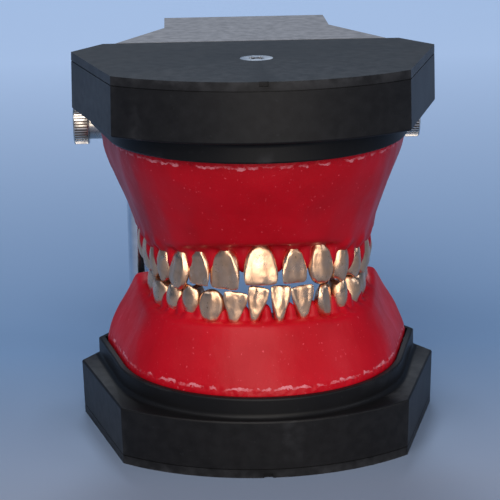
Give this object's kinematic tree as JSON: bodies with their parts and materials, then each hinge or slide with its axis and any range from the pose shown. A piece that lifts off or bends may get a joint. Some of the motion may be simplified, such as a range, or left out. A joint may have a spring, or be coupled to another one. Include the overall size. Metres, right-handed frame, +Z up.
{
  "type": "orthodontic typodont model",
  "caption": "Hinged dental practice model: two black bases with red wax rims holding separate metal teeth, on a rear hinge frame with knurled thumbscrews.",
  "frame": {"origin": "on the bench, on the middle plane, below the line that joins the two front corners of the lower base", "axes": "+X to the model's right seen from the front, +Y from the front to the hinge, +Z up"},
  "size_m": [0.1104, 0.1233, 0.1088],
  "materials": {
    "black_plastic": "satin moulded",
    "red_wax": "glossy hand-smoothed wax",
    "tooth_metal": "cast and tumbled, champagne bronze",
    "plate_metal": "grey satin sheet",
    "polished_steel": "polished",
    "nickel": "nickel plated, knurled",
    "tray_metal": "pressed satin",
    "screw_steel": "plated"
  },
  "bodies": {
    "lower_jaw": {"lower_base": "black_plastic", "lower_cover": "black_plastic", "lower_wax_tray": "tray_metal", "lower_tray_screw": "screw_steel", "lower_plate_screws": "screw_steel", "lower_wax_rim": "red_wax", "lower_hinge_plate": "plate_metal", "lower_left_central_incisor": "tooth_metal", "lower_left_lateral_incisor": "tooth_metal", "lower_left_canine": "tooth_metal", "lower_left_first_premolar": "tooth_metal", "lower_left_second_premolar": "tooth_metal", "lower_left_first_molar": "tooth_metal", "lower_left_second_molar": "tooth_metal", "lower_right_central_incisor": "tooth_metal", "lower_right_lateral_incisor": "tooth_metal", "lower_right_canine": "tooth_metal", "lower_right_first_premolar": "tooth_metal", "lower_right_second_premolar": "tooth_metal", "lower_right_first_molar": "tooth_metal", "lower_right_second_molar": "tooth_metal", "column_screws": "screw_steel", "left_column": "polished_steel", "right_column": "polished_steel", "left_hinge_head": "plate_metal", "right_hinge_head": "plate_metal"},
    "upper_jaw": {"upper_base": "black_plastic", "upper_cover": "black_plastic", "upper_wax_tray": "tray_metal", "upper_tray_screw": "screw_steel", "upper_plate_screws": "screw_steel", "upper_wax_rim": "red_wax", "upper_hinge_plate": "plate_metal", "upper_left_central_incisor": "tooth_metal", "upper_left_lateral_incisor": "tooth_metal", "upper_left_canine": "tooth_metal", "upper_left_first_premolar": "tooth_metal", "upper_left_second_premolar": "tooth_metal", "upper_left_first_molar": "tooth_metal", "upper_left_second_molar": "tooth_metal", "upper_right_central_incisor": "tooth_metal", "upper_right_lateral_incisor": "tooth_metal", "upper_right_canine": "tooth_metal", "upper_right_first_premolar": "tooth_metal", "upper_right_second_premolar": "tooth_metal", "upper_right_first_molar": "tooth_metal", "upper_right_second_molar": "tooth_metal", "hinge_rod": "polished_steel"},
    "left_washer": {"left_washer": "nickel"},
    "left_thumbscrew": {"left_thumbscrew": "nickel"},
    "right_washer": {"right_washer": "nickel"},
    "right_thumbscrew": {"right_thumbscrew": "nickel"}
  },
  "joints": [
    {"name": "jaw_hinge", "type": "hinge", "parent": "lower_jaw", "child": "upper_jaw", "pos_m": [0, 0.098, 0.077], "axis": [-1, 0, 0], "range_deg": [0, 80]},
    {"name": "left_washer_travel", "type": "slide", "parent": "upper_jaw", "child": "left_washer", "axis": [-1, 0, 0], "range_m": [0, 0.0022]},
    {"name": "left_thumbscrew_turn", "type": "hinge", "parent": "left_washer", "child": "left_thumbscrew", "pos_m": [-0.045, 0.098, 0.077], "axis": [-1, 0, 0], "range_deg": [0, 1080]},
    {"name": "right_washer_travel", "type": "slide", "parent": "upper_jaw", "child": "right_washer", "axis": [1, 0, 0], "range_m": [0, 0.0022]},
    {"name": "right_thumbscrew_turn", "type": "hinge", "parent": "right_washer", "child": "right_thumbscrew", "pos_m": [0.045, 0.098, 0.077], "axis": [1, 0, 0], "range_deg": [0, 1080]}
  ],
  "couplings": [
    {"joint": "left_washer_travel", "follows": "left_thumbscrew_turn", "m_per_rad": 0.00011141},
    {"joint": "right_washer_travel", "follows": "right_thumbscrew_turn", "m_per_rad": 0.00011141}
  ]
}
